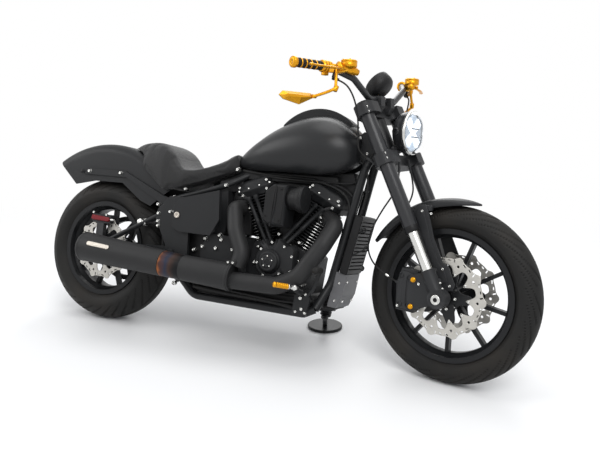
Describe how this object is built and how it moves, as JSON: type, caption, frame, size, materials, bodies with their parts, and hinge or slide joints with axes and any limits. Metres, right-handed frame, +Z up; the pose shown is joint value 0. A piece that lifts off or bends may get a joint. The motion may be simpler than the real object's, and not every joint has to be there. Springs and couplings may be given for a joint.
{
  "type": "cruiser motorcycle",
  "caption": "Cruiser motorcycle with a V-twin engine, one low exhaust on the right and a bobbed rear fender, leaning on its side stand with the steering turned a little to the right.",
  "frame": {"origin": "on the ground, under the middle of the parked machine's bounding box", "axes": "+X forward, +Y to the rider's left, +Z up; the machine leans towards +Y on its side stand"},
  "size_m": [2.2782, 1.0074, 1.2108],
  "materials": {
    "black_plastic": "matt",
    "hose_rubber": "matt",
    "grey_plastic": "matt",
    "engine_black": "wrinkled",
    "rubber": "matt",
    "exhaust_black": "matt",
    "black_metal": "satin",
    "gold_aluminium": "anodised",
    "bright_steel": "polished",
    "disc_steel": "brushed",
    "satin_black": "satin",
    "black_cast": "satin",
    "tyre": "matt",
    "lamp_glass": "clear",
    "red_caliper": "gloss",
    "seat_vinyl": "grained"
  },
  "bodies": {
    "frame": {"air_cleaner": "black_plastic", "battery_box": "black_plastic", "cooler_lower_cover": "grey_plastic", "crankcase": "engine_black", "cylinders": "engine_black", "drive_belt": "rubber", "exhaust_collector": "exhaust_black", "exhaust_headers": "exhaust_black", "foot_controls": "black_metal", "foot_pegs": "gold_aluminium", "frame_backbone": "black_metal", "frame_downtubes": "black_metal", "frame_plates": "black_metal", "frame_rails": "black_metal", "fuel_tank": "satin_black", "gearbox": "engine_black", "muffler": "exhaust_black", "oil_cooler": "black_metal", "primary_cover": "engine_black", "rear_axle": "bright_steel", "rear_caliper": "red_caliper", "rear_fender": "satin_black", "rocker_covers": "engine_black", "seat": "seat_vinyl", "seat_rails": "black_metal", "side_covers": "satin_black", "stand_bracket": "black_metal", "swingarm_arms": "black_metal", "swingarm_crossmember": "black_metal", "swingarm_struts": "black_metal", "tank_console": "satin_black", "timing_cover": "engine_black"},
    "fork": {"upper_clamp": "black_metal", "lower_clamp": "black_metal", "fork_tubes": "black_metal", "fork_sliders": "bright_steel", "fork_lugs": "black_metal", "front_axle": "bright_steel", "front_fender": "satin_black", "front_calipers": "black_metal", "handlebar": "black_metal", "grips": "rubber", "hand_controls": "gold_aluminium", "mirrors": "gold_aluminium", "gauge": "black_plastic", "headlight": "black_metal", "headlight_lens": "lamp_glass", "brake_hose_upper": "hose_rubber", "clutch_hose": "hose_rubber", "brake_hose_right": "hose_rubber", "brake_hose_left": "hose_rubber"},
    "front_wheel": {"front_tyre": "tyre", "front_rim": "black_cast", "front_discs": "disc_steel"},
    "rear_wheel": {"rear_tyre": "tyre", "rear_rim": "black_cast", "rear_disc": "disc_steel", "rear_pulley": "black_cast"},
    "side_stand": {"side_stand": "black_metal", "stand_foot": "black_metal"}
  },
  "joints": [
    {"name": "steering", "type": "hinge", "parent": "frame", "child": "fork", "pos_m": [0.77664, -0.1702, 0.32193], "axis": [-0.4714, 0.2134, 0.8557], "range_deg": [-17.15, 42.85]},
    {"name": "front_wheel_spin", "type": "hinge", "parent": "fork", "child": "front_wheel", "pos_m": [0.80415, -0.17355, 0.33792], "axis": [0.1961, 0.9714, -0.1341], "continuous": true},
    {"name": "rear_wheel_spin", "type": "hinge", "parent": "frame", "child": "rear_wheel", "pos_m": [-0.81011, -0.17018, 0.32205], "axis": [0, 0.9703, -0.2419], "continuous": true},
    {"name": "side_stand_fold", "type": "hinge", "parent": "frame", "child": "side_stand", "pos_m": [0.24225, -0.05915, 0.12252], "axis": [-0.0018, 0.7282, 0.6854], "range_deg": [0, 52]}
  ]
}
